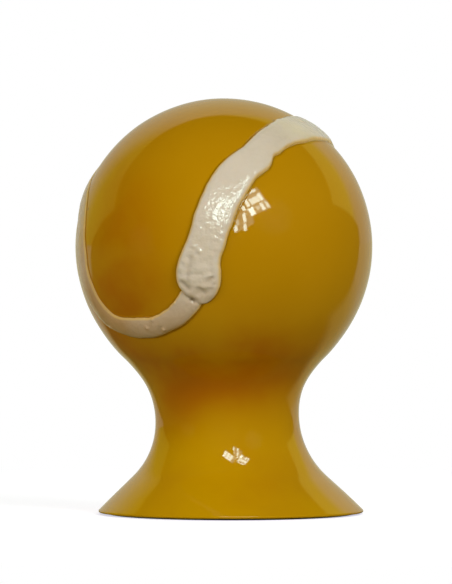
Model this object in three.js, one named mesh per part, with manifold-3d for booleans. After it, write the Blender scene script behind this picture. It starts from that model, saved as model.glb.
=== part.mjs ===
// Ball finial in glazed ceramic, with a raised bead laid over the ball along the line of a
// tennis-ball seam. The finial is a hollow shell that stands over a steel pin on a base plate:
// it lifts off a sleeve in its neck, and it turns with that sleeve on the pin.
//
// Millimetres. The origin is the centre of the seat, +Z is up the axis, and the front faces -Y.

import * as THREE from 'three';
import { mergeVertices } from 'three/addons/utils/BufferGeometryUtils.js';
import Module from 'manifold-3d';

// Driving dimensions
const BALL_RADIUS = 25;
const BALL_CENTRE_HEIGHT = 45;
const WALL = 4.5; // of the ball
const NECK_RADIUS = 12.1;
const NECK_HEIGHT = 16.2; // where the neck is narrowest
const FOOT_RADIUS = 22.3;
const FOOT_COVE_RADIUS = 13.5; // hollow curve from the neck down to the foot
const FOOT_SLOPE = THREE.MathUtils.degToRad(47); // steepest outward flare of that curve
const RIM_HEIGHT = 0.3; // the glazed rim stays this far above the seat

const PIN_RADIUS = 5;
const PIN_TOP = 27;
const RUNNING_CLEARANCE = 0.1;
const SLEEVE_RADIUS = 8;
const SLEEVE_TOP = 25;

const PLATE_RADIUS = 15;
const PLATE_THICKNESS = 2.5;
const PLATE_SCREW_CIRCLE = 11.3; // radius that the user's three screws stand on
const PLATE_SCREW_HOLE = 1.7;
const PLATE_SCREW_SINK = 2.8; // countersunk mouth for an M3 screw

const PIN_SCREW_RADIUS = 2; // M4
const PIN_SCREW_HEAD = 4;
const PIN_SCREW_LENGTH = 14;
const FIT_GAP = 0.15; // round a screw in its hole

const FELT_INNER = 17.4;
const FELT_OUTER = 20.7;
const FELT_THICKNESS = 1.2;

const BEAD_HEIGHT = 0.9;
const BEAD_GAP = 0.1; // under the bead, to the ball
const LAP_AT = 0.19; // share of the way round where the laid bead's two ends lap
const LAP_SWELL = 0.3; // extra height at the lap, as a share
const LAP_LENGTH = 0.02; // share of the way round that the swelling fades in

const ROUND_SEGMENTS = 48;
const HOLE_SEGMENTS = 24;
const BEAD_STEPS = 96;
const BEAD_SECTION_POINTS = 10;

const wasm = await Module();
wasm.setup();

// ---- helpers ----

// Solid of revolution about +Z from [radius, height] points. The outline goes down the inside
// and up the outside.
function turned(outline, segments = ROUND_SEGMENTS) {
  const points = outline.map(([radius, height]) => new THREE.Vector2(radius, height));
  return new THREE.LatheGeometry(points, segments).rotateX(Math.PI / 2);
}

// Points on an arc in the [radius, height] plane, from one angle to another in degrees
function arc(centreRadius, centreHeight, radius, from, to, steps) {
  return Array.from({ length: steps + 1 }, (_, i) => {
    const angle = THREE.MathUtils.degToRad(from + ((to - from) * i) / steps);
    return [centreRadius + radius * Math.cos(angle), centreHeight + radius * Math.sin(angle)];
  });
}

function toSolid(geometry) {
  geometry.deleteAttribute('normal');
  geometry.deleteAttribute('uv');
  const merged = mergeVertices(geometry);
  const mesh = new wasm.Mesh({
    numProp: 3,
    vertProperties: new Float32Array(merged.attributes.position.array),
    triVerts: new Uint32Array(merged.index.array),
  });
  return new wasm.Manifold(mesh);
}

function toGeometry(solid) {
  const { vertProperties, triVerts } = solid.getMesh();
  const geometry = new THREE.BufferGeometry();
  geometry.setAttribute('position', new THREE.BufferAttribute(vertProperties, 3));
  geometry.setIndex(new THREE.BufferAttribute(triVerts, 1));
  return geometry;
}

function piece(name, geometry, material) {
  const mesh = new THREE.Mesh(geometry, material);
  mesh.name = name;
  return mesh;
}

// ---- glazed body: ball, neck and foot, hollow and open below ----

// Radius of the hollow curve between neck and ball, so that it runs smoothly into both
function upperCoveRadius() {
  const rise = BALL_CENTRE_HEIGHT - NECK_HEIGHT;
  const excess = NECK_RADIUS ** 2 + rise ** 2 - BALL_RADIUS ** 2;
  return excess / (2 * (BALL_RADIUS - NECK_RADIUS));
}

function bodyOutside() {
  const cove = upperCoveRadius();
  const coveCentre = NECK_RADIUS + cove;
  const rise = BALL_CENTRE_HEIGHT - NECK_HEIGHT;
  const meeting = THREE.MathUtils.radToDeg(Math.atan2(rise, coveCentre));
  const slope = THREE.MathUtils.radToDeg(FOOT_SLOPE);
  const footCentre = NECK_RADIUS + FOOT_COVE_RADIUS;
  return [
    [FOOT_RADIUS, RIM_HEIGHT],
    [FOOT_RADIUS - 3.2, 3.6],
    ...arc(footCentre, NECK_HEIGHT, FOOT_COVE_RADIUS, 180 + slope, 180, 5),
    ...arc(coveCentre, NECK_HEIGHT, cove, 180, 180 - meeting, 6).slice(1),
    ...arc(0, BALL_CENTRE_HEIGHT, BALL_RADIUS, -meeting, 80, 14).slice(1),
    [0, BALL_CENTRE_HEIGHT + BALL_RADIUS],
  ];
}

function bodyInside() {
  const bore = SLEEVE_RADIUS + RUNNING_CLEARANCE;
  const hollow = BALL_RADIUS - WALL;
  const boreMouth = -THREE.MathUtils.radToDeg(Math.acos(bore / hollow));
  const feltSeat = FELT_THICKNESS + 0.05;
  return [
    [0, BALL_CENTRE_HEIGHT + hollow],
    ...arc(0, BALL_CENTRE_HEIGHT, hollow, 72, boreMouth, 8),
    [bore, 10.4],
    [9.5, 9],
    [FELT_INNER - 0.4, feltSeat],
    [FELT_OUTER + 0.3, feltSeat],
    [FELT_OUTER + 0.3, RIM_HEIGHT],
  ];
}

function glazedBody() {
  const glaze = new THREE.MeshStandardMaterial({ color: 0xa87c08, roughness: 0.12, metalness: 0 });
  return piece('glazed_body', turned([...bodyInside(), ...bodyOutside()]), glaze);
}

// ---- seam bead ----

// The seam as [bearing, latitude, half-width of the bead] on the ball, in degrees and mm.
// Bearing is 0 at the front and grows towards +X. The list starts at the top right of the front,
// goes down the front, round by the left to the back, and returns by the right.
const SEAM = [
  [57, 53.6, 3.2], [34, 49, 2.7], [14, 37.5, 2.7], [3, 26.5, 3.2], [-4, 13.5, 3.2], [-8, 0, 3.3],
  [-11, -13, 3.2], [-17, -23, 1.9], [-30, -30.5, 1.8], [-45, -31.5, 1.8], [-60, -28, 1.9],
  [-70, -17, 2.4], [-74, -3, 2.4], [-79, 14, 2.4], [-92, 25.5, 2.4], [-110, 34, 2.5],
  [-134, 41, 2.5], [-157, 37, 2.5], [-173, 22, 2.6], [180, 0, 2.6], [175, -20, 2.4],
  [165, -35, 2.3], [150, -41, 2.3], [136, -35, 2.4], [129, -20, 2.6], [128, -2, 2.6],
  [128, 14, 2.6], [124, 36, 2.7], [110, 50.5, 3], [85, 56, 3.3],
];

function onBall(bearing, latitude) {
  const polar = THREE.MathUtils.degToRad(90 - latitude);
  const around = THREE.MathUtils.degToRad(bearing);
  const point = new THREE.Vector3().setFromSphericalCoords(BALL_RADIUS, polar, around);
  return new THREE.Vector3(point.x, -point.z, point.y);
}

// A torus wrapped along the seam: each of its rings becomes one domed cross-section of the bead
function beadGeometry() {
  const centres = SEAM.map(([bearing, latitude]) => onBall(bearing, latitude));
  const halfWidths = SEAM.map(([, , halfWidth]) => new THREE.Vector3(halfWidth, 0, 0));
  const seam = new THREE.CatmullRomCurve3(centres, true);
  const widths = new THREE.CatmullRomCurve3(halfWidths, true, 'catmullrom');
  const geometry = new THREE.TorusGeometry(2, 1, BEAD_SECTION_POINTS, BEAD_STEPS);
  const position = geometry.attributes.position;
  for (let i = 0; i < position.count; i++) {
    const ring = new THREE.Vector3().fromBufferAttribute(position, i);
    const share = (Math.atan2(ring.y, ring.x) / (2 * Math.PI) + 1) % 1;
    const along = seam.getUtoTmapping(share);
    const across = ring.z;
    const up = Math.max(0, Math.hypot(ring.x, ring.y) - 2);

    const fromLap = (share - LAP_AT) / LAP_LENGTH;
    const swell = 1 + LAP_SWELL * Math.exp(-(fromLap ** 2));
    const outward = seam.getPoint(along).normalize();
    const sideways = new THREE.Vector3().crossVectors(outward, seam.getTangent(along)).normalize();
    const height = BALL_RADIUS + BEAD_GAP + BEAD_HEIGHT * swell * up;
    const point = outward.multiplyScalar(BALL_RADIUS)
      .addScaledVector(sideways, across * widths.getPoint(along).x)
      .setLength(height);
    position.setXYZ(i, point.x, point.y, point.z);
  }
  return geometry;
}

function seamBead() {
  const slip = new THREE.MeshStandardMaterial({ color: 0xd6cbb4, roughness: 0.25, metalness: 0 });
  const bead = piece('seam_bead', beadGeometry(), slip);
  bead.position.z = BALL_CENTRE_HEIGHT;
  return bead;
}

// ---- felt ring under the rim ----

function feltRing() {
  const felt = new THREE.MeshStandardMaterial({ color: 0x3a3a34, roughness: 0.95, metalness: 0 });
  return piece('felt_ring', turned([
    [FELT_INNER, FELT_THICKNESS],
    [FELT_INNER, 0],
    [FELT_OUTER, 0],
    [FELT_OUTER, FELT_THICKNESS],
    [FELT_INNER, FELT_THICKNESS],
  ]), felt);
}

// ---- sleeve in the neck, pin, plate and screw ----

function neckSleeve() {
  const nylon = new THREE.MeshStandardMaterial({ color: 0xe8e4d8, roughness: 0.5, metalness: 0 });
  const bore = PIN_RADIUS + RUNNING_CLEARANCE;
  const bottom = PLATE_THICKNESS + 0.1;
  const bevel = 0.8;
  return piece('neck_sleeve', turned([
    [bore, SLEEVE_TOP],
    [bore, bottom],
    [SLEEVE_RADIUS, bottom],
    [SLEEVE_RADIUS, SLEEVE_TOP - bevel],
    [SLEEVE_RADIUS - bevel, SLEEVE_TOP],
    [bore, SLEEVE_TOP],
  ]), nylon);
}

function postPin() {
  const steel = new THREE.MeshStandardMaterial({ color: 0xb8b8bc, roughness: 0.35, metalness: 1 });
  const thread = PIN_SCREW_RADIUS + FIT_GAP;
  const bevel = 1;
  return piece('post_pin', turned([
    [0, PIN_SCREW_LENGTH + 1.5],
    [thread, PIN_SCREW_LENGTH + 0.5],
    [thread, PLATE_THICKNESS],
    [PIN_RADIUS, PLATE_THICKNESS],
    [PIN_RADIUS, PIN_TOP - bevel],
    [PIN_RADIUS - bevel, PIN_TOP],
    [0, PIN_TOP],
  ]), steel);
}

// Cutter for a countersunk hole: a cone that opens at one face, on a straight hole
function sunkHole(holeRadius, sinkRadius, sinkAtTop) {
  const depth = sinkRadius - holeRadius;
  const beyond = 1;
  const cutter = toSolid(turned([
    [0, -beyond],
    [sinkRadius + beyond, -beyond],
    [holeRadius, depth],
    [holeRadius, PLATE_THICKNESS + beyond],
    [0, PLATE_THICKNESS + beyond],
  ], HOLE_SEGMENTS));
  return sinkAtTop ? cutter.rotate([180, 0, 0]).translate([0, 0, PLATE_THICKNESS]) : cutter;
}

function basePlate() {
  const zinc = new THREE.MeshStandardMaterial({ color: 0x9a9a9e, roughness: 0.45, metalness: 1 });
  let plate = toSolid(turned([
    [0, 0],
    [PLATE_RADIUS, 0],
    [PLATE_RADIUS, PLATE_THICKNESS - 0.4],
    [PLATE_RADIUS - 0.4, PLATE_THICKNESS],
    [0, PLATE_THICKNESS],
  ]));
  plate = plate.subtract(sunkHole(PIN_SCREW_RADIUS + FIT_GAP, PIN_SCREW_HEAD + FIT_GAP, false));
  for (const bearing of [90, 210, 330]) {
    const around = THREE.MathUtils.degToRad(bearing);
    const x = PLATE_SCREW_CIRCLE * Math.cos(around);
    const y = PLATE_SCREW_CIRCLE * Math.sin(around);
    plate = plate.subtract(sunkHole(PLATE_SCREW_HOLE, PLATE_SCREW_SINK, true).translate([x, y, 0]));
  }
  return piece('base_plate', toGeometry(plate), zinc);
}

function pinScrew() {
  const steel = new THREE.MeshStandardMaterial({ color: 0x8c8c90, roughness: 0.4, metalness: 1 });
  const headDepth = PIN_SCREW_HEAD - PIN_SCREW_RADIUS;
  const sunkBy = 0.1;
  const solid = toSolid(turned([
    [0, sunkBy],
    [PIN_SCREW_HEAD - sunkBy, sunkBy],
    [PIN_SCREW_RADIUS, headDepth],
    [PIN_SCREW_RADIUS, PIN_SCREW_LENGTH],
    [0, PIN_SCREW_LENGTH],
  ], HOLE_SEGMENTS));
  const socketDepth = 1.6;
  const socket = new THREE.CylinderGeometry(1.45, 1.45, 2 * socketDepth, 6).rotateX(Math.PI / 2);
  return piece('pin_screw', toGeometry(solid.subtract(toSolid(socket))), steel);
}

// ---- assembly ----

const finial = new THREE.Group();
finial.add(glazedBody(), seamBead(), feltRing());

const postFixing = new THREE.Group();
postFixing.add(basePlate(), postPin(), pinScrew());

const ballFinial = new THREE.Group();
ballFinial.add(finial, neckSleeve(), postFixing);

export default ballFinial;
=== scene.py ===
"""A glazed ceramic ball finial with a raised seam bead, on a pinned base plate.

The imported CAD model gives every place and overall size. Each CAD node is replaced by a fine mesh
of the same size: the body gets the slight lean and unevenness of hand work, and the bead its
wavering width, pits and lapped ends. Outlines are in millimetres and meshes in metres. Bearings and
latitudes are in degrees on the ball.
"""
import math

import bmesh
import bpy
import numpy as np
from mathutils import Matrix, Vector, noise


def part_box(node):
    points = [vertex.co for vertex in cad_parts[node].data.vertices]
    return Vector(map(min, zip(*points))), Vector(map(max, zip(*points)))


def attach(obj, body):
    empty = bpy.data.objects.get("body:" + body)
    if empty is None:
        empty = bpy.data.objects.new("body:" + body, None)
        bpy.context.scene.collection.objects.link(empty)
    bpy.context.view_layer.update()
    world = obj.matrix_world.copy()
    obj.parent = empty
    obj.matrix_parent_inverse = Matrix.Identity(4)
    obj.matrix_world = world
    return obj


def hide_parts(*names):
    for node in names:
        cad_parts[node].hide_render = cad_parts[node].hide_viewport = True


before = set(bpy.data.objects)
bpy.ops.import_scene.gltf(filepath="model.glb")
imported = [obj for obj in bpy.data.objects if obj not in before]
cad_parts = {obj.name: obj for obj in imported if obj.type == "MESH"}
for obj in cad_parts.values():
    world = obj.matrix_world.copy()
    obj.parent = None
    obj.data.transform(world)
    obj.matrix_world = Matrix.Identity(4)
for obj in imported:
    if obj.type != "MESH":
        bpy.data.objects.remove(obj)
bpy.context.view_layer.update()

MM = 0.001

# ---- sizes from the frame, in mm ----

body_low, body_high = (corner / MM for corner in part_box("glazed_body"))
sleeve_low, sleeve_high = (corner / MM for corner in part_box("neck_sleeve"))
pin_low, pin_high = (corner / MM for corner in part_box("post_pin"))
plate_low, plate_high = (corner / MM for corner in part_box("base_plate"))
screw_low, screw_high = (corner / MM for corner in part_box("pin_screw"))
felt_low, felt_high = (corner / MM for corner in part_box("felt_ring"))

BALL_RADIUS = (body_high.x - body_low.x) / 2
BALL_HEIGHT = body_high.z - BALL_RADIUS
RIM_HEIGHT = body_low.z
PIN_RADIUS = pin_high.x
SLEEVE_RADIUS = sleeve_high.x
PLATE_RADIUS = plate_high.x
FELT_OUTER = felt_high.x

# ---- sizes that the boxes don't show, in mm, as in the CAD ----

WALL = 4.5
NECK_RADIUS = 12.1
NECK_HEIGHT = 16.2
FOOT_RADIUS = 22.3
FOOT_COVE = 13.5
FOOT_SLOPE = math.radians(47)
RIM_ROUND = 0.25
FOOT_CURVE_PULL = (20.6, 2.4)  # radius and height that the foot's curve bends towards
CLEARANCE = 0.1
BORE_TOP = 26.0
BORE_BOTTOM = 10.4
FELT_INNER = 17.4
SCREW_HOLE = 1.7       # radius of the holes for the user's screws
SCREW_MOUTH = 2.8
SCREW_CIRCLE = 11.3
PIN_HOLE = 2.15        # radius of the hole in plate and pin for the pin's screw
PIN_MOUTH = 4.15
SHANK = 2.0
THREAD_PITCH = 0.7
THREAD_DEPTH = 0.28
SOCKET_RADIUS = 1.45
SOCKET_DEPTH = 1.7

# ---- marks of hand work, in mm ----

LEAN = 1.18            # the ball stands this far to the left of the foot
LEAN_TOP = 30          # height by which the lean is complete
UNEVEN = 0.05          # slow unevenness of the thrown wall
THICK_GLAZE_AND_SHADE_HEIGHT = 24.5  # where the glaze lies thickest and the painted shade under the ball is darkest
GLAZE_POOL = 0.33      # extra glaze in the hollow under the ball
GLAZE_POOL_HEIGHT = 25.4
GLAZE_POOL_SPREAD = 3.0

# The bead's centre line as (bearing, latitude, half-width, height): degrees on the ball, and mm.
# Bearing is 0 at the front and grows to the right. It starts at the broad end in front, climbs
# over the top right, goes round the back, and comes back by the left to the thin end. The rows in
# front were measured on the photograph with a helper program, and some were then moved by hand. The
# rows behind were set one by one.
SEAM = [
    (-8.6, -20.6, 3.3, 0.85), (-9.4, -14.0, 3.7, 1.0), (-9.8, -8.0, 3.75, 1.0),
    (-8.6, -1.5, 3.35, 0.9), (-6.5, 4.5, 3.2, 0.85), (-3.8, 13.9, 3.25, 0.85),
    (0.4, 22.4, 3.2, 0.85), (6.0, 30.5, 2.95, 0.85), (13.5, 37.3, 2.7, 0.85),
    (24.8, 45.2, 2.65, 0.85), (36.0, 49.9, 2.75, 0.85), (50.0, 52.5, 3.1, 0.8),
    (69.0, 53.6, 3.3, 0.65), (89.0, 51.8, 3.2, 0.55), (108.0, 46.0, 3.0, 0.65),
    (123.0, 33.0, 2.7, 0.8), (128.0, 14.0, 2.6, 0.85), (128.0, -2.0, 2.6, 0.85),
    (129.0, -20.0, 2.6, 0.8), (136.0, -35.0, 2.4, 0.8), (150.0, -41.0, 2.3, 0.8),
    (165.0, -35.0, 2.4, 0.8), (175.0, -20.0, 2.6, 0.85), (180.0, 0.0, 2.7, 0.85),
    (187.0, 22.0, 2.6, 0.8), (203.0, 37.0, 2.5, 0.8), (226.0, 41.0, 2.5, 0.75),
    (246.0, 34.0, 2.5, 0.34), (263.0, 26.0, 2.4, 0.24), (280.0, 15.0, 2.4, 0.26),
    (286.5, 0.0, 2.4, 0.42), (288.0, -10.0, 2.4, 0.5), (291.5, -19.5, 2.3, 0.65),
    (297.5, -26.5, 2.0, 0.7), (305.5, -30.3, 1.75, 0.7), (318.5, -31.5, 1.95, 0.75),
    (328.0, -30.7, 1.8, 0.75), (338.0, -26.8, 1.85, 0.75), (341.3, -24.3, 1.95, 0.72),
    (344.3, -21.3, 2.0, 0.7), (346.7, -17.8, 2.0, 0.6), (348.3, -13.8, 1.8, 0.4),
]
BROAD_END = 4.8        # length over which the broad end rounds off
THIN_END = 2.0
BEAD_SAMPLES = 1500    # along the bead
BEAD_COLUMNS = 37      # across its top
LEAST_HEIGHT = 0.03

# Grooves (depth above 0) and ridges (below 0) in the bead, from one place to another: bearing and
# latitude of both ends in degrees, half-width and depth in mm. Dents and nubs are very short ones.
# Their places were read off the photograph.
MARKS = [
    (-12.4, -2.5, -13.6, -10.0, 0.40, 0.24),   # crease down the left of the broad end
    (-16.0, -11.7, -14.0, -13.7, 0.42, 0.26),  # dent under it
    (-16.2, -10.0, -13.0, -10.2, 0.35, -0.16),
    (-9.6, -13.7, -7.4, -15.6, 0.40, 0.20),    # dent in the middle
    (-10.6, -12.6, -7.6, -12.8, 0.40, -0.10),
    (-17.5, -15.0, -12.4, -18.6, 0.30, 0.22),  # the lap's crease
    (-12.6, -18.6, -11.8, -19.0, 0.42, 0.45),
    (-5.2, -5.0, -4.0, -9.5, 0.45, 0.10),
    (-5.1, -8.9, -5.0, -9.0, 0.30, -0.25),     # nubs on its right, with a dent between
    (-4.8, -13.2, -4.7, -13.2, 0.30, -0.25),
    (-5.6, -10.9, -5.4, -11.2, 0.30, 0.20),
    (-11.3, 1.9, -11.2, 1.8, 0.28, -0.30),
    (-9.3, 0.1, -9.2, 0.0, 0.28, -0.30),
    (-3.1, 5.0, -3.3, 4.6, 0.24, -0.16),
    (-4.6, -9.8, -4.5, -10.4, 0.24, 0.14),
    (-4.0, -12.4, -4.6, -13.6, 0.24, 0.16),
    (-20.6, -19.9, -20.5, -19.9, 0.27, -0.30),
    (-27.1, -30.9, -27.0, -30.9, 0.27, -0.30),
    (-31.9, -27.0, -31.8, -27.0, 0.27, -0.30),
    (-35.3, -30.2, -35.2, -30.2, 0.27, -0.30),
]

rng = np.random.default_rng(7)


# ---- mesh helpers ----

def arc(centre_radius, centre_height, radius, start, end, steps):
    """Points on an arc in the (radius, height) plane, between two angles in degrees."""
    angles = np.radians(np.linspace(start, end, steps + 1))
    return list(zip(centre_radius + radius * np.cos(angles), centre_height + radius * np.sin(angles)))


def bezier(start, control, end, steps):
    """Points on a curve from start to end that leaves and arrives towards the control point."""
    t = np.linspace(0, 1, steps + 1)[:, None]
    curve = (1 - t) ** 2 * np.array(start) + 2 * t * (1 - t) * np.array(control) + t ** 2 * np.array(end)
    return [tuple(point) for point in curve]


def turned(outline, segments):
    """Points, faces and outward normals of a solid turned about Z.

    The outline goes down the inside and up the outside. It starts and ends on the axis, or it
    ends where it starts.
    """
    outline = np.array(outline, float)
    looped = np.allclose(outline[0], outline[-1])
    rows = outline[:-1] if looped else outline
    ahead = np.roll(rows, -1, axis=0) if looped else np.vstack([rows[1:], rows[-1:]])
    behind = np.roll(rows, 1, axis=0) if looped else np.vstack([rows[:1], rows[:-1]])
    along = ahead - behind
    along /= np.linalg.norm(along, axis=1)[:, None]
    angles = np.linspace(0, 2 * math.pi, segments, endpoint=False)

    points, normals, rings = [], [], []
    for (radius, height), (step_out, step_up) in zip(rows, along):
        first = len(points)
        if radius < 1e-6:
            points.append((0, 0, height))
            normals.append((0, 0, 1))
            rings.append([first] * segments)
        else:
            points += [(radius * math.cos(a), radius * math.sin(a), height) for a in angles]
            normals += [(step_up * math.cos(a), step_up * math.sin(a), -step_out) for a in angles]
            rings.append(list(range(first, first + segments)))
    faces = []
    pairs = list(zip(rings, rings[1:])) + ([(rings[-1], rings[0])] if looped else [])
    for lower, upper in pairs:
        for j in range(segments):
            k = (j + 1) % segments
            corners = list(dict.fromkeys((lower[j], lower[k], upper[k], upper[j])))
            if len(corners) > 2:
                faces.append(corners)
    return np.array(points), faces, np.array(normals)


def make_piece(name, points, faces, material, body, node, sharp_angle=None):
    """A piece of the object from points in mm, which stands for a CAD node and rides on its body."""
    mesh = bpy.data.meshes.new(name)
    mesh.from_pydata((np.array(points) * MM).tolist(), [], faces)
    mesh.polygons.foreach_set("use_smooth", [True] * len(mesh.polygons))
    if sharp_angle:
        mesh.set_sharp_from_angle(angle=math.radians(sharp_angle))
    mesh.materials.append(material)
    mesh.update()
    piece = bpy.data.objects.new(name, mesh)
    bpy.context.scene.collection.objects.link(piece)
    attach(piece, body)
    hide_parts(node)
    return piece


def add_attribute(piece, name, values):
    attribute = piece.data.attributes.new(name, "FLOAT", "POINT")
    attribute.data.foreach_set("value", np.array(values, np.float32))


def smooth_step(value):
    value = np.clip(value, 0, 1)
    return value * value * (3 - 2 * value)


def lean(points):
    """Moves points to the left with height, as the whole finial leans."""
    points = np.array(points, float)
    points[:, 0] -= LEAN * smooth_step(points[:, 2] / LEAN_TOP)
    return points


def unevenness(points):
    """Height in mm of the wall's slow unevenness at points in mm."""
    def at(point):
        place = Vector(point) / BALL_RADIUS
        return noise.noise(place * 2.3) + 0.25 * noise.noise(place * 7.0)
    return UNEVEN * np.array([at(point) for point in points])


# ---- node helpers ----

class Nodes:
    """Short calls that add nodes to a tree and link them."""

    def __init__(self, tree):
        self.tree = tree

    def add(self, kind, settings=None, **inputs):
        node = self.tree.nodes.new("ShaderNode" + kind)
        for key, value in (settings or {}).items():
            setattr(node, key, value)
        for key, value in inputs.items():
            self.put(node, int(key[1:]) if key[0] == "i" and key[1:].isdigit() else key, value)
        return node

    def put(self, node, socket, value):
        if isinstance(socket, str):
            socket = socket.replace("_", " ")
        if isinstance(value, bpy.types.NodeSocket):
            self.tree.links.new(value, node.inputs[socket])
        else:
            node.inputs[socket].default_value = value

    def math(self, operation, a, b=0.0, c=0.0):
        return self.add("Math", {"operation": operation}, i0=a, i1=b, i2=c).outputs[0]

    def between(self, value, low, high):
        """0 below low and 1 above high, smooth between. High may be the smaller."""
        settings = {"interpolation_type": "SMOOTHSTEP"}
        return self.add("MapRange", settings, i0=value, i1=low, i2=high).outputs[0]

    def noise(self, place, scale, detail=3.0, roughness=0.5):
        node = self.add("TexNoise", Vector=place, Scale=scale, Detail=detail, Roughness=roughness)
        return node.outputs["Fac"]

    def specks(self, place, scale, size, share):
        """1 in a few round specks: one in each cell of 1/scale, in the given share of cells."""
        cell = self.add("TexVoronoi", Vector=place, Scale=scale)
        inside = self.math("LESS_THAN", cell.outputs["Distance"], size)
        parts = self.add("SeparateColor", Color=cell.outputs["Color"])
        chosen = self.math("LESS_THAN", parts.outputs[0], share)
        return self.math("MULTIPLY", inside, chosen)

    def mix(self, share, a, b, blend="MIX"):
        node = self.add("Mix", {"data_type": "RGBA", "blend_type": blend}, i0=share)
        self.put(node, 6, a)
        self.put(node, 7, b)
        return node.outputs[2]

    def bump(self, height, distance, strength=1.0, normal=None):
        node = self.add("Bump", Height=height, Distance=distance, Strength=strength)
        if normal:
            self.put(node, "Normal", normal)
        return node.outputs["Normal"]

    def attribute(self, name):
        return self.add("Attribute", {"attribute_name": name}).outputs["Fac"]

    def place(self):
        return self.add("TexCoord").outputs["Object"]


def new_material(name):
    material = bpy.data.materials.new(name)
    material.use_nodes = True
    return material, Nodes(material.node_tree), material.node_tree.nodes["Principled BSDF"]


def rgb(red, green, blue):
    return (red, green, blue, 1.0)


# ---- materials ----

def mustard_glaze():
    """Glossy mustard glaze, paler on the foot, with orange peel and a few specks. It is darker and
    more orange under the ball, where the glaze pools and painted shade falls, and on the left, where
    only painted shade falls.
    """
    material, n, surface = new_material("mustard_glaze")
    place = n.place()
    mottle = n.noise(place, 180)
    # Darker and more orange under the ball, from glaze that pools there and painted shade, and on the left
    # from painted shade.
    pool_and_shade_share = n.math("ADD", n.attribute("pool_and_shade"), n.math("MULTIPLY_ADD", mottle, 0.2, -0.1))
    colour = n.mix(n.between(pool_and_shade_share, 0.0, 1.0), rgb(0.44, 0.222, 0.0), rgb(0.385, 0.122, 0.0))
    height = n.add("SeparateXYZ", Vector=place).outputs[2]
    colour = n.mix(n.between(height, 0.022, 0.009), colour, rgb(0.50, 0.277, 0.0))
    cloud = n.noise(place, 60, 4)
    colour = n.mix(n.between(cloud, 0.35, 0.75), colour, rgb(0.46, 0.235, 0.002))
    dark_speck = n.specks(place, 210, 0.07, 0.05)
    colour = n.mix(n.math("MULTIPLY", dark_speck, 0.6), colour, rgb(0.12, 0.05, 0.01))
    pale_speck = n.specks(place, 160, 0.05, 0.05)
    colour = n.mix(n.math("MULTIPLY", pale_speck, 0.7), colour, rgb(0.75, 0.68, 0.45))
    n.put(surface, "Base Color", colour)
    n.put(surface, "Roughness", n.math("MULTIPLY_ADD", n.noise(place, 400), 0.05, 0.035))
    n.put(surface, "IOR", 1.5)
    peel = n.bump(n.noise(place, 260, 2), 0.00002, 0.5)
    pinholes = n.bump(n.specks(place, 500, 0.16, 0.03), -0.00005, 1.0, peel)
    n.put(surface, "Normal", pinholes)
    return material


def cream_slip():
    """Thick cream slip under clear glaze, yellow at its edges. Painted shade makes it browner low down
    and on the left and darker in its dents, and a painted sheen makes it paler and bluer where it
    turns away. Beyond its edges it carries a dark line of painted contact shadow on the mustard glaze.
    """
    material, n, surface = new_material("cream_slip")
    place = n.place()
    reach = n.attribute("reach")
    cream = n.mix(n.noise(place, 220, 3), rgb(0.60, 0.55, 0.48), rgb(0.69, 0.64, 0.58))
    # Paler and bluer where the slip turns away from the camera: a painted sheen.
    sheen_facing = n.add("LayerWeight", Blend=0.5).outputs["Facing"]
    cream = n.mix(n.between(sheen_facing, 0.5, 1.0), cream, rgb(0.74, 0.73, 0.80))
    stain = n.between(n.noise(place, 90, 4), 0.5, 0.8)
    cream = n.mix(n.math("MULTIPLY", stain, 0.35), cream, rgb(0.50, 0.42, 0.30))
    # Browner low down and on the left: painted shade, from the attribute thin.
    thin = n.attribute("thin")
    cream = n.mix(thin, cream, rgb(0.44, 0.26, 0.10))
    # Darker in the bead's dents and creases: painted shade.
    cream = n.mix(n.attribute("hollow"), cream, rgb(0.27, 0.19, 0.11))
    edge = n.mix(n.between(reach, 0.80, 0.98), cream, rgb(0.70, 0.50, 0.20))
    # Beyond the edges: the glaze, more orange with the same painted shade, and next to the bead a darker
    # line, which is painted contact shadow.
    glaze = n.mix(thin, rgb(0.42, 0.21, 0.0), rgb(0.38, 0.14, 0.0))
    contact_shadow = n.mix(thin, rgb(0.30, 0.16, 0.0), rgb(0.37, 0.16, 0.01))
    glaze_by_bead = n.mix(n.between(reach, 1.02, 1.13), contact_shadow, glaze)
    colour = n.mix(n.between(reach, 0.995, 1.02), edge, glaze_by_bead)
    n.put(surface, "Base Color", colour)
    n.put(surface, "Roughness", 0.09)
    n.put(surface, "IOR", 1.5)
    n.put(surface, "Subsurface Weight", 0.15)
    n.put(surface, "Subsurface Radius", (1.0, 0.7, 0.4))
    n.put(surface, "Subsurface Scale", 0.0006)
    ripple = n.bump(n.noise(place, 1500, 1), 0.00011, 1.0)
    bubbles = n.bump(n.specks(place, 1100, 0.3, 0.05), -0.00005, 1.0, ripple)
    n.put(surface, "Normal", bubbles)
    return material


def felt():
    """Dark wool felt: fibres at two scales, matt with a little sheen."""
    material, n, surface = new_material("felt")
    place = n.place()
    fibres = n.noise(place, 2600, 6, 0.75)
    n.put(surface, "Base Color", n.mix(fibres, rgb(0.015, 0.02, 0.013), rgb(0.07, 0.085, 0.06)))
    n.put(surface, "Roughness", 0.95)
    n.put(surface, "Sheen Weight", 0.4)
    n.put(surface, "Normal", n.bump(fibres, 0.0004, 1.0))
    return material


def nylon():
    """Turned off-white nylon, with faint tool rings."""
    material, n, surface = new_material("nylon")
    place = n.place()
    n.put(surface, "Base Color", n.mix(n.noise(place, 300), rgb(0.70, 0.67, 0.58), rgb(0.78, 0.75, 0.68)))
    n.put(surface, "Roughness", 0.38)
    n.put(surface, "Subsurface Weight", 0.2)
    n.put(surface, "Subsurface Scale", 0.001)
    rings = n.add("TexWave", {"bands_direction": "Z"}, Vector=place, Scale=900, Distortion=1.0)
    n.put(surface, "Normal", n.bump(rings.outputs["Fac"], 0.00002, 0.5))
    return material


TURNED = (30, 30, 2500)  # how fast the grain changes along X, Y and Z: rings round the axis
ROLLED = (900, 60, 900)  # lines along Y


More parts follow.
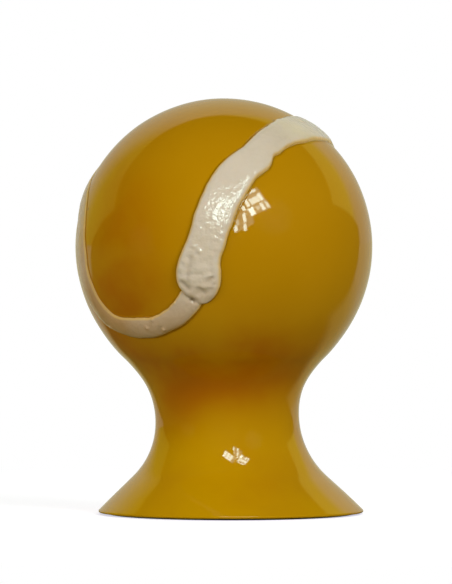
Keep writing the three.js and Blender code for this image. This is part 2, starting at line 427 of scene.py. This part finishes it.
def metal(name, colour, roughness, grain):
    """Turned or rolled metal: fine lines round or along an axis, with scuffs."""
    material, n, surface = new_material(name)
    place = n.place()
    lines = n.noise(n.add("Mapping", Vector=place, Scale=grain).outputs[0], 1.0, 4)
    scuffs = n.between(n.noise(place, 500, 6, 0.7), 0.55, 0.75)
    worn = tuple(0.72 * channel for channel in colour)
    n.put(surface, "Base Color", n.mix(n.math("MULTIPLY", scuffs, 0.5), rgb(*colour), rgb(*worn)))
    n.put(surface, "Metallic", 1.0)
    n.put(surface, "Roughness", n.math("MULTIPLY_ADD", n.math("ADD", lines, scuffs), 0.12, roughness))
    n.put(surface, "Normal", n.bump(lines, 0.00002, 0.6))
    return material


# ---- glazed body ----

def body_outside():
    """Outer outline from the foot's rim to the top of the ball."""
    rise = BALL_HEIGHT - NECK_HEIGHT
    cove = (NECK_RADIUS ** 2 + rise ** 2 - BALL_RADIUS ** 2) / (2 * (BALL_RADIUS - NECK_RADIUS))
    meeting = math.degrees(math.atan2(rise, NECK_RADIUS + cove))
    slope = math.degrees(FOOT_SLOPE)
    rim = (FOOT_RADIUS - RIM_ROUND, RIM_HEIGHT + RIM_ROUND)
    foot_curve_top = (
        NECK_RADIUS + FOOT_COVE * (1 - math.cos(FOOT_SLOPE)),
        NECK_HEIGHT - FOOT_COVE * math.sin(FOOT_SLOPE),
    )
    outline = [
        *arc(*rim, RIM_ROUND, -90, 35, 6),
        *bezier((FOOT_RADIUS - 0.1, RIM_HEIGHT + 0.45), FOOT_CURVE_PULL, foot_curve_top, 22)[:-1],
        *arc(NECK_RADIUS + FOOT_COVE, NECK_HEIGHT, FOOT_COVE, 180 + slope, 180, 30),
        *arc(NECK_RADIUS + cove, NECK_HEIGHT, cove, 180, 180 - meeting, 30)[1:],
        *arc(0, BALL_HEIGHT, BALL_RADIUS, -meeting, 89.3, 150)[1:],
        (0, BALL_HEIGHT + BALL_RADIUS),
    ]

    def with_pool(radius, height):
        from_pool = (height - GLAZE_POOL_HEIGHT) / GLAZE_POOL_SPREAD
        return radius + (GLAZE_POOL * math.exp(-from_pool ** 2) if radius else 0), height
    return [with_pool(*point) for point in outline]


def body_inside():
    """Inner outline from the hollow's top, down the bore, to the felt's seat and the rim."""
    bore = SLEEVE_RADIUS + CLEARANCE
    hollow = BALL_RADIUS - WALL
    mouth = -math.degrees(math.acos(bore / hollow))
    seat = felt_high.z + 0.05
    edge = FELT_OUTER + 0.3
    return [
        (0, BALL_HEIGHT + hollow),
        *arc(0, BALL_HEIGHT, hollow, 87, mouth, 40),
        *[(bore, height) for height in np.linspace(BORE_TOP, BORE_BOTTOM, 12)],
        *bezier((bore, 10.2), (bore + 0.1, 9.6), (9.5, 9.0), 4),
        (FELT_INNER - 0.4, seat),
        (edge, seat),
        (edge, RIM_HEIGHT + 0.1),
        (edge + 0.1, RIM_HEIGHT),
    ]


def glaze_pool_and_shade(points):
    """0 to 1: glaze pool and painted shade. Most in the hollow under the ball, where the glaze pools
    and painted shade falls, and painted shade on the left, weaker near the top.
    """
    x, y, z = points.T
    spread = np.where(z > THICK_GLAZE_AND_SHADE_HEIGHT, 9.5, 7.5)
    under = np.exp(-(((z - THICK_GLAZE_AND_SHADE_HEIGHT) / spread) ** 2))
    under = under * (1 - 0.45 * smooth_step((x - 3) / 12))
    leftness = -x / np.maximum(np.hypot(x, y), 0.1)
    left = smooth_step((leftness - 0.1) / 0.75) * smooth_step((z - 4) / 12)
    left = left * (1 - 0.6 * smooth_step((z - 45) / 20))
    return np.clip(0.95 * under + 0.75 * left, 0, 1)


def build_body():
    inside, outside = body_inside(), body_outside()
    segments = 300
    points, faces, normals = turned(inside + outside, segments)
    outer = np.arange(len(points)) > (len(inside) - 1) * segments
    clear_of_rim = smooth_step((points[:, 2] - RIM_HEIGHT - 0.5) / 3) * outer
    # Where the glaze pools under the ball, and where painted shade falls under the ball and on the left.
    thickness = glaze_pool_and_shade(points)
    points = points + normals * (unevenness(points) * clear_of_rim)[:, None]
    points[outer] = lean(points[outer])
    piece = make_piece(
        "glazed_shell", points, faces, mustard_glaze(), "finial", "glazed_body", 50)
    add_attribute(piece, "pool_and_shade", thickness)


# ---- seam bead ----

def on_ball(bearing, latitude):
    """Unit vectors from the ball's centre."""
    bearing, latitude = np.radians(bearing), np.radians(latitude)
    return np.stack([
        np.cos(latitude) * np.sin(bearing),
        -np.cos(latitude) * np.cos(bearing),
        np.sin(latitude),
    ], axis=-1)


def smooth_curve(rows, count):
    """Even samples of a smooth curve through the rows, and each sample's length along it."""
    rows = np.array(rows, float)
    ends = np.vstack([2 * rows[0] - rows[1], rows, 2 * rows[-1] - rows[-2]])
    t = np.linspace(0, 1, 60, endpoint=False)[:, None]
    dense = []
    for a, b, c, d in zip(ends, ends[1:], ends[2:], ends[3:]):
        cubic = 3 * b - 3 * c + d - a
        dense.append(0.5 * (2 * b + (c - a) * t + (2 * a - 5 * b + 4 * c - d) * t ** 2 + cubic * t ** 3))
    dense = np.vstack(dense + [rows[-1:]])
    steps = np.linalg.norm(np.diff(dense[:, :3], axis=0), axis=1) * BALL_RADIUS
    length = np.concatenate([[0], np.cumsum(steps)])
    even = np.linspace(0, length[-1], count)
    return np.column_stack([np.interp(even, length, column) for column in dense.T]), even


def wander(length, wave, size, seed):
    """Smooth wandering along the bead, as a hand's unsteadiness."""
    return size * np.array([noise.noise((s / wave, seed, 0.5)) for s in length])


def bump_at(length, centre, spread, size):
    return size * np.exp(-(((length - centre) / spread) ** 2))


def rounded_ends(length):
    """0 to 1 along the bead: full width, with both ends rounded off."""
    broad = np.clip(1 - length / BROAD_END, 0, 1)
    thin = np.clip(1 - (length[-1] - length) / THIN_END, 0, 1)
    taper = np.sqrt(np.clip(1 - broad ** 2, 0, 1)) * np.sqrt(np.clip(1 - thin ** 2, 0, 1))
    return np.maximum(taper, 0.02)


def bead_section():
    """Columns across the bead as (share of the half-width, mm beyond the edge, fixed height).

    Beyond each edge lies a thin strip that dips into the ball; its dark colour in cream_slip is a
    painted contact shadow. On the top the height isn't fixed but follows the dome.
    """
    across = np.sin(np.linspace(-1, 1, BEAD_COLUMNS) * math.pi / 2)
    left_shadow_strip = [(-1, -0.55, -0.25), (-1, -0.40, 0.01), (-1, -0.16, 0.035)]
    right_shadow_strip = [(1, 0.16, 0.035), (1, 0.40, 0.01), (1, 0.55, -0.25)]
    return left_shadow_strip + [(a, 0.0, None) for a in across] + right_shadow_strip


def carve(direction, height, marks):
    """Takes the marks out of the height, in place. Returns how hollow each place is, 0 to 1."""
    cavity = np.zeros(len(direction))
    for start, end, half_width, depth in marks:
        near = direction @ ((start + end) / 2) > 0.98
        if not near.any():
            continue
        away = distance_to_line(direction[near], start, end) * BALL_RADIUS
        share = np.exp(-((away / half_width) ** 2))
        height[near] -= np.minimum(depth, 0.85 * height[near]) * share
        cavity[near] += np.clip(depth * 1.2, 0, 1) * share
    return cavity


def tube_faces(columns, samples):
    """Faces of a closed tube of columns of samples, with a face over each end."""
    faces = []
    for c in range(columns - 1):
        for i in range(samples - 1):
            corner = c * samples + i
            faces.append((corner, corner + samples, corner + samples + 1, corner + 1))
    last = (columns - 1) * samples
    for i in range(samples - 1):
        faces.append((i, i + 1, last + i + 1, last + i))
    for i in (0, samples - 1):
        ring = [c * samples + i for c in range(columns)]
        faces.append(ring[::-1] if i == 0 else ring)
    return faces


def painted_shade_share(points):
    """0 to 0.9: painted shade on the slip and the glaze beside it, strong low down and far to the left."""
    x, _, z = points.T
    low = 0.7 * smooth_step((43 - z) / 13)
    far_left = 0.6 * smooth_step((-x - 15) / 7)
    return np.minimum(0.9, low + far_left)


def build_bead():
    seam = np.array(SEAM)
    rows = np.column_stack([on_ball(seam[:, 0], seam[:, 1]), seam[:, 2:]])
    curve, length = smooth_curve(rows, BEAD_SAMPLES)
    outward = curve[:, :3] / np.linalg.norm(curve[:, :3], axis=1)[:, None]
    tangent = np.gradient(outward, axis=0)
    tangent /= np.linalg.norm(tangent, axis=1)[:, None]
    sideways = np.cross(tangent, outward)
    taper = rounded_ends(length)

    # the two edges wander apart, and each has small steps where the hand stopped
    left = curve[:, 3] + wander(length, 3.0, 0.16, 1.0) + wander(length, 1.1, 0.06, 2.0)
    right = curve[:, 3] + wander(length, 3.4, 0.16, 5.0) + wander(length, 1.2, 0.06, 6.0)
    right += bump_at(length, 28.3, 1.7, 0.5) - bump_at(length, 31.0, 0.9, 0.30)
    left += bump_at(length, 22.5, 3.5, 0.55) + bump_at(length, 39.0, 0.7, 0.28)
    crown = curve[:, 4] + wander(length, 5.0, 0.07, 9.0)
    flatness = 2.3 + 3.4 * smooth_step((60 - length) / 25)
    knobbly = 0.03 + bump_at(length, 5.0, 6.0, 0.12)

    points, reach, hollow = [], [], []
    marks = known_marks() + scattered_marks(outward, sideways, left, right)
    section = bead_section()
    for a, beyond, fixed in section:
        half = np.where(a > 0, right, left) * taper
        offset = a * half + beyond
        direction = outward * BALL_RADIUS + sideways * offset[:, None]
        direction /= np.linalg.norm(direction, axis=1)[:, None]
        if fixed is None:
            dome = np.sqrt(np.clip(1 - abs(a) ** flatness, 0, 1))
            height = 0.05 + crown * np.minimum(taper ** 0.7, 1) * dome
            cavity = carve(direction, height, marks)
            lumps = [noise.noise(Vector(d) * 11) + 0.3 * noise.noise(Vector(d) * 30) for d in direction]
            knobs = [noise.noise(Vector(d) * 24) for d in direction]
            height = height + (0.05 * np.array(lumps) + knobbly * np.array(knobs)) * dome
            height = np.maximum(height, LEAST_HEIGHT)
        else:
            height = np.full(BEAD_SAMPLES, fixed)
            cavity = np.zeros(BEAD_SAMPLES)
        base = direction * BALL_RADIUS + np.array([0, 0, BALL_HEIGHT])
        wall = unevenness(base)
        points.append(base + direction * (height + wall)[:, None])
        reach.append(np.full(BEAD_SAMPLES, abs(a) + abs(beyond) / 3))
        hollow.append(np.clip(cavity, 0, 1))

    points = lean(np.concatenate(points))
    faces = tube_faces(len(section), BEAD_SAMPLES)
    piece = make_piece("seam_slip", points, faces, cream_slip(), "finial", "seam_bead")
    add_attribute(piece, "reach", np.concatenate(reach))
    # The attribute hollow marks the bead's dents and creases, which the slip's colour darkens as painted
    # shade.
    add_attribute(piece, "hollow", np.concatenate(hollow))
    # The attribute thin carries painted shade, low down and far to the left.
    add_attribute(piece, "thin", painted_shade_share(points))
    face_outward(piece)


def known_marks():
    """The marks in the list, as unit vectors to both ends, half-width and depth."""
    return [(on_ball(m[0], m[1]), on_ball(m[2], m[3]), m[4], m[5]) for m in MARKS]


def scattered_marks(outward, sideways, left, right):
    """Small bubbles and nubs at random places on the bead, in the same form."""
    marks = []
    for _ in range(50):
        at = rng.integers(30, len(outward) - 30)
        share = rng.uniform(-0.75, 0.75)
        offset = share * (right[at] if share > 0 else left[at])
        place = outward[at] * BALL_RADIUS + sideways[at] * offset
        place /= np.linalg.norm(place)
        depth = rng.choice([rng.uniform(0.04, 0.12), -rng.uniform(0.04, 0.10)])
        marks.append((place, place, rng.uniform(0.2, 0.38), depth))
    return marks


def distance_to_line(places, start, end):
    """Distance from places to the short line between start and end, on the unit ball."""
    line = end - start
    share = np.clip((places - start) @ line / max(line @ line, 1e-9), 0, 1)
    return np.linalg.norm(places - start - share[:, None] * line, axis=1)


def face_outward(piece):
    edit = bmesh.new()
    edit.from_mesh(piece.data)
    bmesh.ops.recalc_face_normals(edit, faces=edit.faces)
    edit.to_mesh(piece.data)
    edit.free()


# ---- felt, sleeve, pin, plate and screw ----

def build_felt():
    bottom, top, soft = felt_low.z, felt_high.z, 0.3
    outline = [
        (FELT_INNER, top),
        *arc(FELT_INNER + soft, bottom + soft, soft, 180, 270, 5),
        *[(radius, bottom) for radius in np.linspace(FELT_INNER + 0.6, FELT_OUTER - 0.6, 8)],
        *arc(FELT_OUTER - soft, bottom + soft, soft, 270, 360, 5),
        (FELT_OUTER, top),
        (FELT_INNER, top),
    ]
    points, faces, _ = turned(outline, 240)
    make_piece("felt_pad", points, faces, felt(), "finial", "felt_ring", 60)


def build_sleeve():
    bore = PIN_RADIUS + CLEARANCE
    bottom, top, bevel = sleeve_low.z, sleeve_high.z, 0.8
    outline = [
        (bore, top - 0.3),
        (bore, bottom + 0.3),
        (bore + 0.3, bottom),
        (SLEEVE_RADIUS - 0.3, bottom),
        (SLEEVE_RADIUS, bottom + 0.3),
        *[(SLEEVE_RADIUS, height) for height in np.linspace(bottom + 0.5, top - bevel - 0.2, 8)],
        *arc(SLEEVE_RADIUS - bevel, top - bevel, bevel, 0, 90, 8),
        (bore + 0.3, top),
        (bore, top - 0.3),
    ]
    points, faces, _ = turned(outline, 128)
    make_piece("nylon_sleeve", points, faces, nylon(), "sleeve", "neck_sleeve", 40)


def build_pin():
    tip = screw_high.z + 0.5
    outline = [
        (0, tip + 1),
        (PIN_HOLE, tip),
        (PIN_HOLE, pin_low.z),
        (PIN_RADIUS, pin_low.z),
        (PIN_RADIUS, pin_high.z - 1.0),
        *arc(PIN_RADIUS - 1.0, pin_high.z - 1.0, 1.0, 10, 80, 6),
        (PIN_RADIUS - 1.2, pin_high.z),
        (0.9, pin_high.z),
        (0, pin_high.z - 0.6),
    ]
    points, faces, _ = turned(outline, 96)
    steel = metal("bright_steel", (0.60, 0.59, 0.57), 0.16, TURNED)
    make_piece("steel_pin", points, faces, steel, "post_fixing", "post_pin", 40)


def cut(piece, cutters):
    """Takes the cutters' volume out of the piece."""
    for cutter in cutters:
        modifier = piece.modifiers.new("cut", "BOOLEAN")
        modifier.object = cutter
        modifier.solver = "EXACT"
    graph = bpy.context.evaluated_depsgraph_get()
    result = bpy.data.meshes.new_from_object(piece.evaluated_get(graph))
    piece.modifiers.clear()
    piece.data = result
    result.polygons.foreach_set("use_smooth", [True] * len(result.polygons))
    result.set_sharp_from_angle(angle=math.radians(30))
    for cutter in cutters:
        bpy.data.objects.remove(cutter)


def cutter(outline, x=0.0, y=0.0, segments=64):
    """A turned solid about the upright line through x and y, to cut with."""
    points, faces, _ = turned(outline, segments)
    mesh = bpy.data.meshes.new("cutter")
    mesh.from_pydata(((points + (x, y, 0)) * MM).tolist(), [], faces)
    tool = bpy.data.objects.new("cutter", mesh)
    bpy.context.scene.collection.objects.link(tool)
    return tool


def countersunk_from_above(hole, mouth, thickness):
    depth = mouth - hole
    return [(0, -1), (hole, -1), (hole, thickness - depth), (mouth + 1, thickness + 1), (0, thickness + 1)]


def countersunk_from_below(hole, mouth, thickness):
    return [(0, -1), (mouth + 1, -1), (hole, mouth - hole), (hole, thickness + 1), (0, thickness + 1)]


def build_plate():
    thickness, edge = plate_high.z, 0.4
    outline = [
        (0, 0),
        (PLATE_RADIUS - 0.15, 0),
        (PLATE_RADIUS, 0.15),
        (PLATE_RADIUS, thickness - edge),
        *arc(PLATE_RADIUS - edge, thickness - edge, edge, 10, 90, 5),
        (0, thickness),
    ]
    points, faces, _ = turned(outline, 128)
    zinc = metal("zinc_plate", (0.52, 0.52, 0.53), 0.28, ROLLED)
    plate = make_piece("zinc_plate", points, faces, zinc, "post_fixing", "base_plate", 30)
    screw_hole = countersunk_from_above(SCREW_HOLE, SCREW_MOUTH, thickness)
    around = [math.radians(angle) for angle in (90, 210, 330)]
    tools = [cutter(screw_hole, SCREW_CIRCLE * math.cos(a), SCREW_CIRCLE * math.sin(a)) for a in around]
    cut(plate, tools + [cutter(countersunk_from_below(PIN_HOLE, PIN_MOUTH, thickness))])


def build_screw():
    head, low, top = screw_high.x, screw_low.z, screw_high.z
    thread_start = 3.4
    threads = []
    for height in np.arange(thread_start, top - 0.8, THREAD_PITCH):
        threads += [(SHANK, height), (SHANK - THREAD_DEPTH, height + THREAD_PITCH * 0.5)]
    outline = [
        (0, low),
        (head - 0.1, low),
        (head, low + 0.1),
        (SHANK, low + head - SHANK + 0.1),
        *threads,
        (SHANK - 0.3, top - 0.3),
        (SHANK - 0.6, top),
        (0, top),
    ]
    points, faces, _ = turned(outline, 72)
    steel = metal("screw_steel", (0.45, 0.45, 0.46), 0.25, TURNED)
    screw = make_piece("countersunk_screw", points, faces, steel, "post_fixing", "pin_screw", 30)
    socket = [(0, -1), (SOCKET_RADIUS, -1), (SOCKET_RADIUS, SOCKET_DEPTH), (0, SOCKET_DEPTH + 0.5)]
    cut(screw, [cutter(socket, segments=6)])


# ---- stage ----

FLOOR_HALF = 3.0
BACKGROUND = rgb(1.0, 1.0, 1.0)
FLOOR_FAR = rgb(0.58, 0.56, 0.37)
FLOOR_NEAR = rgb(0.58, 0.50, 0.16)
WALL_LOW = rgb(0.58, 0.56, 0.42)
WALL_HIGH = rgb(0.78, 0.77, 0.50)
WALL_LEFT = rgb(0.57, 0.52, 0.06)
WALL_TOP_RIGHT = rgb(0.80, 0.78, 0.14)
DIM_FRONT = rgb(0.16, 0.14, 0.03)
DIM_LEFT = rgb(0.13, 0.075, 0.01)
DIM_ABOVE = rgb(0.12, 0.11, 0.01)


def stage_object(name, mesh, material):
    """An object of the stage, linked to the scene."""
    piece = bpy.data.objects.new(name, mesh)
    bpy.context.scene.collection.objects.link(piece)
    mesh.materials.append(material)
    return piece


def mirrored_floor(n, x, y):
    """What the glaze mirrors of the floor, which is made up: bright behind the object, like the
    wall, and dim in front. On each side the line between them runs back in two straight stretches.
    """
    right_near = n.math("MULTIPLY", x, 0.1)
    right_far = n.math("MULTIPLY_ADD", x, 0.85, -0.042)
    left_near = n.math("MULTIPLY", x, -0.68)
    left_far = n.math("MULTIPLY_ADD", x, -0.45, 0.045)
    right_edge = n.math("MAXIMUM", right_near, right_far)
    left_edge = n.math("MAXIMUM", left_near, left_far)
    past_edge = n.math("SUBTRACT", y, n.math("MAXIMUM", right_edge, left_edge))
    behind = n.between(past_edge, -0.01, 0.015)
    bright = n.mix(n.between(y, 0.03, 0.15), FLOOR_NEAR, FLOOR_FAR)
    return n.add("Emission", Color=n.mix(behind, DIM_FRONT, bright))


def build_floor():
    """Pale floor that fades into the background, and can't be seen from below."""
    mesh = bpy.data.meshes.new("floor")
    signs = [(-1, -1), (1, -1), (1, 1), (-1, 1)]
    mesh.from_pydata([(i * FLOOR_HALF, j * FLOOR_HALF, 0) for i, j in signs], [], [(0, 1, 2, 3)])
    material, n, _ = new_material("floor")
    place = n.place()
    x, y, _ = n.add("SeparateXYZ", Vector=place).outputs
    mirrored = mirrored_floor(n, x, y)
    from_middle = n.add("VectorMath", {"operation": "LENGTH"}, i0=place).outputs["Value"]
    far = n.between(from_middle, 0.05, 0.16)
    lit = n.add("BsdfDiffuse", Color=rgb(0.87, 0.90, 0.96))
    lit_up = n.add("Emission", Color=rgb(0.79, 0.82, 1.0), Strength=0.66)
    near_floor = n.add("AddShader", i0=lit.outputs[0], i1=lit_up.outputs[0])
    far_floor = n.add("Emission", Color=BACKGROUND)
    seen = n.add("MixShader", i0=far, i1=near_floor.outputs[0], i2=far_floor.outputs[0])
    ray = n.add("LightPath").outputs["Is Camera Ray"]
    above = n.add("MixShader", i0=ray, i1=mirrored.outputs[0], i2=seen.outputs[0])
    backfacing = n.add("NewGeometry").outputs["Backfacing"]
    clear = n.add("BsdfTransparent").outputs[0]
    whole = n.add("MixShader", i0=backfacing, i1=above.outputs[0], i2=clear)
    n.put(material.node_tree.nodes["Material Output"], "Surface", whole.outputs[0])
    stage_object("floor", mesh, material)


def bright_wall(n, side, up, behind):
    """1 where the bright wall shows: left of a leaning edge, below its top, and on the left only
    past a door or over a cupboard with a sloping top.
    """
    edge = n.math("MULTIPLY_ADD", n.math("MAXIMUM", n.math("ADD", up, -0.15), 0.0), 2.0, 1.12)
    left_of_edge = n.between(n.math("SUBTRACT", side, edge), 0.08, -0.08)
    over_cupboard = n.math("ADD", up, n.math("MULTIPLY_ADD", side, 0.37, 0.22))
    past_door = n.math("MULTIPLY_ADD", up, 2.0, side)
    clear = n.math("MAXIMUM", n.between(past_door, -1.5, -1.35), n.between(over_cupboard, -0.05, 0.05))
    below_top = n.between(up, 1.48, 1.32)
    wall = n.math("MULTIPLY", n.math("MULTIPLY", clear, left_of_edge), below_top)
    return n.math("MULTIPLY", wall, behind)


def build_room():
    """What the glaze mirrors above the floor, which is made up: a bright wall behind, and a dim
    room in front, darker on the left and above. The camera sees only the background.
    """
    world = bpy.data.worlds.new("room")
    bpy.context.scene.world = world
    world.use_nodes = True
    n = Nodes(world.node_tree)
    direction = n.add("SeparateXYZ", Vector=n.add("TexCoord").outputs["Generated"])
    x, y, z = (direction.outputs[k] for k in range(3))
    behind = n.between(y, 0.02, 0.06)
    back = n.math("MAXIMUM", y, 0.02)
    side, up = n.math("DIVIDE", x, back), n.math("DIVIDE", z, back)

    wall_colour = n.mix(n.between(up, 0.1, 0.8), WALL_LOW, WALL_HIGH)
    wall_colour = n.mix(n.between(side, -0.3, -1.1), wall_colour, WALL_LEFT)
    up_right = n.between(n.math("ADD", side, up), 1.2, 1.8)
    wall_colour = n.mix(up_right, wall_colour, WALL_TOP_RIGHT)
    dim = n.mix(n.between(x, -0.7, 0.3), DIM_LEFT, DIM_FRONT)
    dim = n.mix(n.between(z, 0.3, 1.0), dim, DIM_ABOVE)
    surroundings = n.mix(bright_wall(n, side, up, behind), dim, wall_colour)
    ray = n.add("LightPath").outputs["Is Camera Ray"]
    n.put(world.node_tree.nodes["Background"], "Color", n.mix(ray, surroundings, BACKGROUND))


WINDOW_UNIT = 0.00096      # metres
WINDOW_MIDDLE = (25.9, -67.8, 82.3)
WINDOW_FACING = (0.395, -0.774, 0.495)
WINDOW_TILT = math.radians(20)
WINDOW_GLOW = 18.0
VEIL_BRIGHTNESS = 0.2      # panes dimmer than this are veils, which hang behind the others
VEIL_DEPTH = 0.5

# The window's panes as (left, bottom, width, height, slant, brightness). Lengths are in window
# units from its middle. They were measured on the highlight in the photograph: one window unit is
# mirrored by the ball as about one of its pixels.
PANES = [
    (-2.6, 12.8, 3.4, 2.8, 0, 0.7), (2.4, 13.4, 9.6, 2.8, 0, 0.8), (-5.2, 3.6, 3.4, 8.0, 0, 0.9),
    (-0.6, 3.6, 10.4, 6.0, 0, 0.8), (10.2, 3.8, 3.2, 7.0, 0, 1.0), (-11.0, 2.0, 3.2, 4.6, 0, 0.9),
    (-6.2, -6.0, 5.6, 8.0, 0, 1.2), (1.6, -3.4, 4.2, 4.0, 0, 0.45), (6.6, -5.6, 3.2, 7.4, 0, 0.9),
    (11.9, -5.2, 2.9, 7.0, 0, 0.7), (-16.6, -8.6, 3.4, 9.0, 0.35, 0.9),
    (-20.4, -16.6, 3.4, 6.6, 0.35, 0.9), (-30.0, -13.6, 3.6, 6.4, 0.35, 0.9),
    (-24.8, -8.0, 3.4, 6.0, 0.35, 0.4), (-24.4, 5.0, 6.6, 16.0, 0, 0.9),
    (-33.6, 5.0, 7.2, 17.0, 0, 0.9), (-42.8, 6.0, 7.2, 17.0, 0, 0.9),
    (-6.5, -6.5, 21.5, 23.0, 0, 0.15), (-27.0, -14.0, 20.0, 17.0, 0.35, 0.12),
    (-44.0, 4.0, 34.0, 20.0, 0, 0.15),
]


def window_mesh():
    points, faces = [], []
    for left, bottom, width, height, slant, brightness in PANES:
        first = len(points)
        depth = VEIL_DEPTH if brightness < VEIL_BRIGHTNESS else 0
        over = slant * height
        points += [(left, bottom, depth), (left + width, bottom, depth)]
        points += [(left + width + over, bottom + height, depth), (left + over, bottom + height, depth)]
        faces.append(tuple(range(first, first + 4)))
    mesh = bpy.data.meshes.new("window")
    mesh.from_pydata([[length * WINDOW_UNIT for length in point] for point in points], [], faces)
    attribute = mesh.attributes.new("brightness", "FLOAT", "FACE")
    attribute.data.foreach_set("value", [pane[-1] for pane in PANES])
    return mesh


def daylight():
    """Glow that only a mirroring place in front of the finial's axis receives, and only directly.

    The mirroring place lies back along the ray, by the ray's length.
    """
    material, n, _ = new_material("daylight")
    path = n.add("LightPath").outputs
    surface = n.add("NewGeometry").outputs
    direct = n.math("LESS_THAN", path["Ray Depth"], 1.5)
    scale, add = {"operation": "SCALE"}, {"operation": "ADD"}
    way_back = n.add("VectorMath", scale, i0=surface["Incoming"], Scale=path["Ray Length"])
    mirror = n.add("VectorMath", add, i0=surface["Position"], i1=way_back.outputs[0])
    mirror_y = n.add("SeparateXYZ", Vector=mirror.outputs[0]).outputs[1]
    strength = n.math("MULTIPLY", n.math("MULTIPLY", n.attribute("brightness"), direct), WINDOW_GLOW)
    strength = n.math("MULTIPLY", strength, n.between(mirror_y, -0.008, -0.0115))
    glow = n.add("Emission", Color=rgb(0.80, 1.0, 0.93), Strength=strength)
    n.put(material.node_tree.nodes["Material Output"], "Surface", glow.outputs[0])
    return material


def build_window():
    """A tilted window with bars, near and high on the right in front: the sharp highlights. It
    shows only in reflections, and casts no shadow.
    """
    window = stage_object("window", window_mesh(), daylight())
    toward = Vector(WINDOW_FACING).normalized()
    turn = toward.to_track_quat("Z", "Y").to_matrix().to_4x4() @ Matrix.Rotation(WINDOW_TILT, 4, "Z")
    window.matrix_world = Matrix.Translation(Vector(WINDOW_MIDDLE) * MM) @ turn
    window.visible_camera = False
    window.visible_diffuse = False
    window.visible_shadow = False


def add_soft_light(name, toward, distance, size, power, colour):
    """Soft light that doesn't show in the glaze."""
    data = bpy.data.lights.new(name, "AREA")
    data.shape = "DISK"
    data.size, data.energy, data.color = size, power, colour
    light = bpy.data.objects.new(name, data)
    toward = Vector(toward).normalized()
    light.location = Vector((0, 0, 0.035)) + toward * distance
    light.rotation_mode = "QUATERNION"
    light.rotation_quaternion = toward.to_track_quat("Z", "Y")
    light.visible_glossy = False
    bpy.context.scene.collection.objects.link(light)


def build_camera():
    """Long lens, two degrees above level. Its frame is frame_height mm high at the finial's axis."""
    elevation, lens, frame_height = math.radians(2.0), 800, 98.3
    data = bpy.data.cameras.new("camera")
    data.lens, data.sensor_width = lens, 36
    distance = frame_height / 2 / (data.sensor_width / 2 / lens) * MM
    aim = Vector((-0.84, 0, 37.4)) * MM
    back = Vector((0, -math.cos(elevation), math.sin(elevation)))
    camera = bpy.data.objects.new("camera", data)
    camera.location = aim + back * distance
    camera.rotation_mode = "QUATERNION"
    camera.rotation_quaternion = back.to_track_quat("Z", "Y")
    data.clip_start, data.clip_end = 0.1, 20
    bpy.context.scene.collection.objects.link(camera)
    bpy.context.scene.camera = camera


build_body()
build_bead()
build_felt()
build_sleeve()
build_pin()
build_plate()
build_screw()
build_floor()
build_room()
build_window()
add_soft_light("key", (0.62, -0.70, 0.40), 0.75, 0.35, 3.3, (1.0, 0.95, 0.90))
add_soft_light("front_fill", (-0.2, -0.9, 0.3), 0.9, 1.0, 3.1, (1.0, 0.96, 0.91))
add_soft_light("left_fill", (-0.9, -0.4, 0.05), 0.9, 0.4, 3.6, (1.0, 0.95, 0.89))
add_soft_light("top_fill", (0.1, 0.2, 1.0), 0.9, 0.6, 0.5, (1.0, 1.0, 1.0))
add_soft_light("back_fill", (-0.15, 0.95, 0.2), 0.9, 0.8, 2.4, (1.0, 0.96, 0.91))
build_camera()
bpy.context.scene.view_settings.view_transform = "Standard"
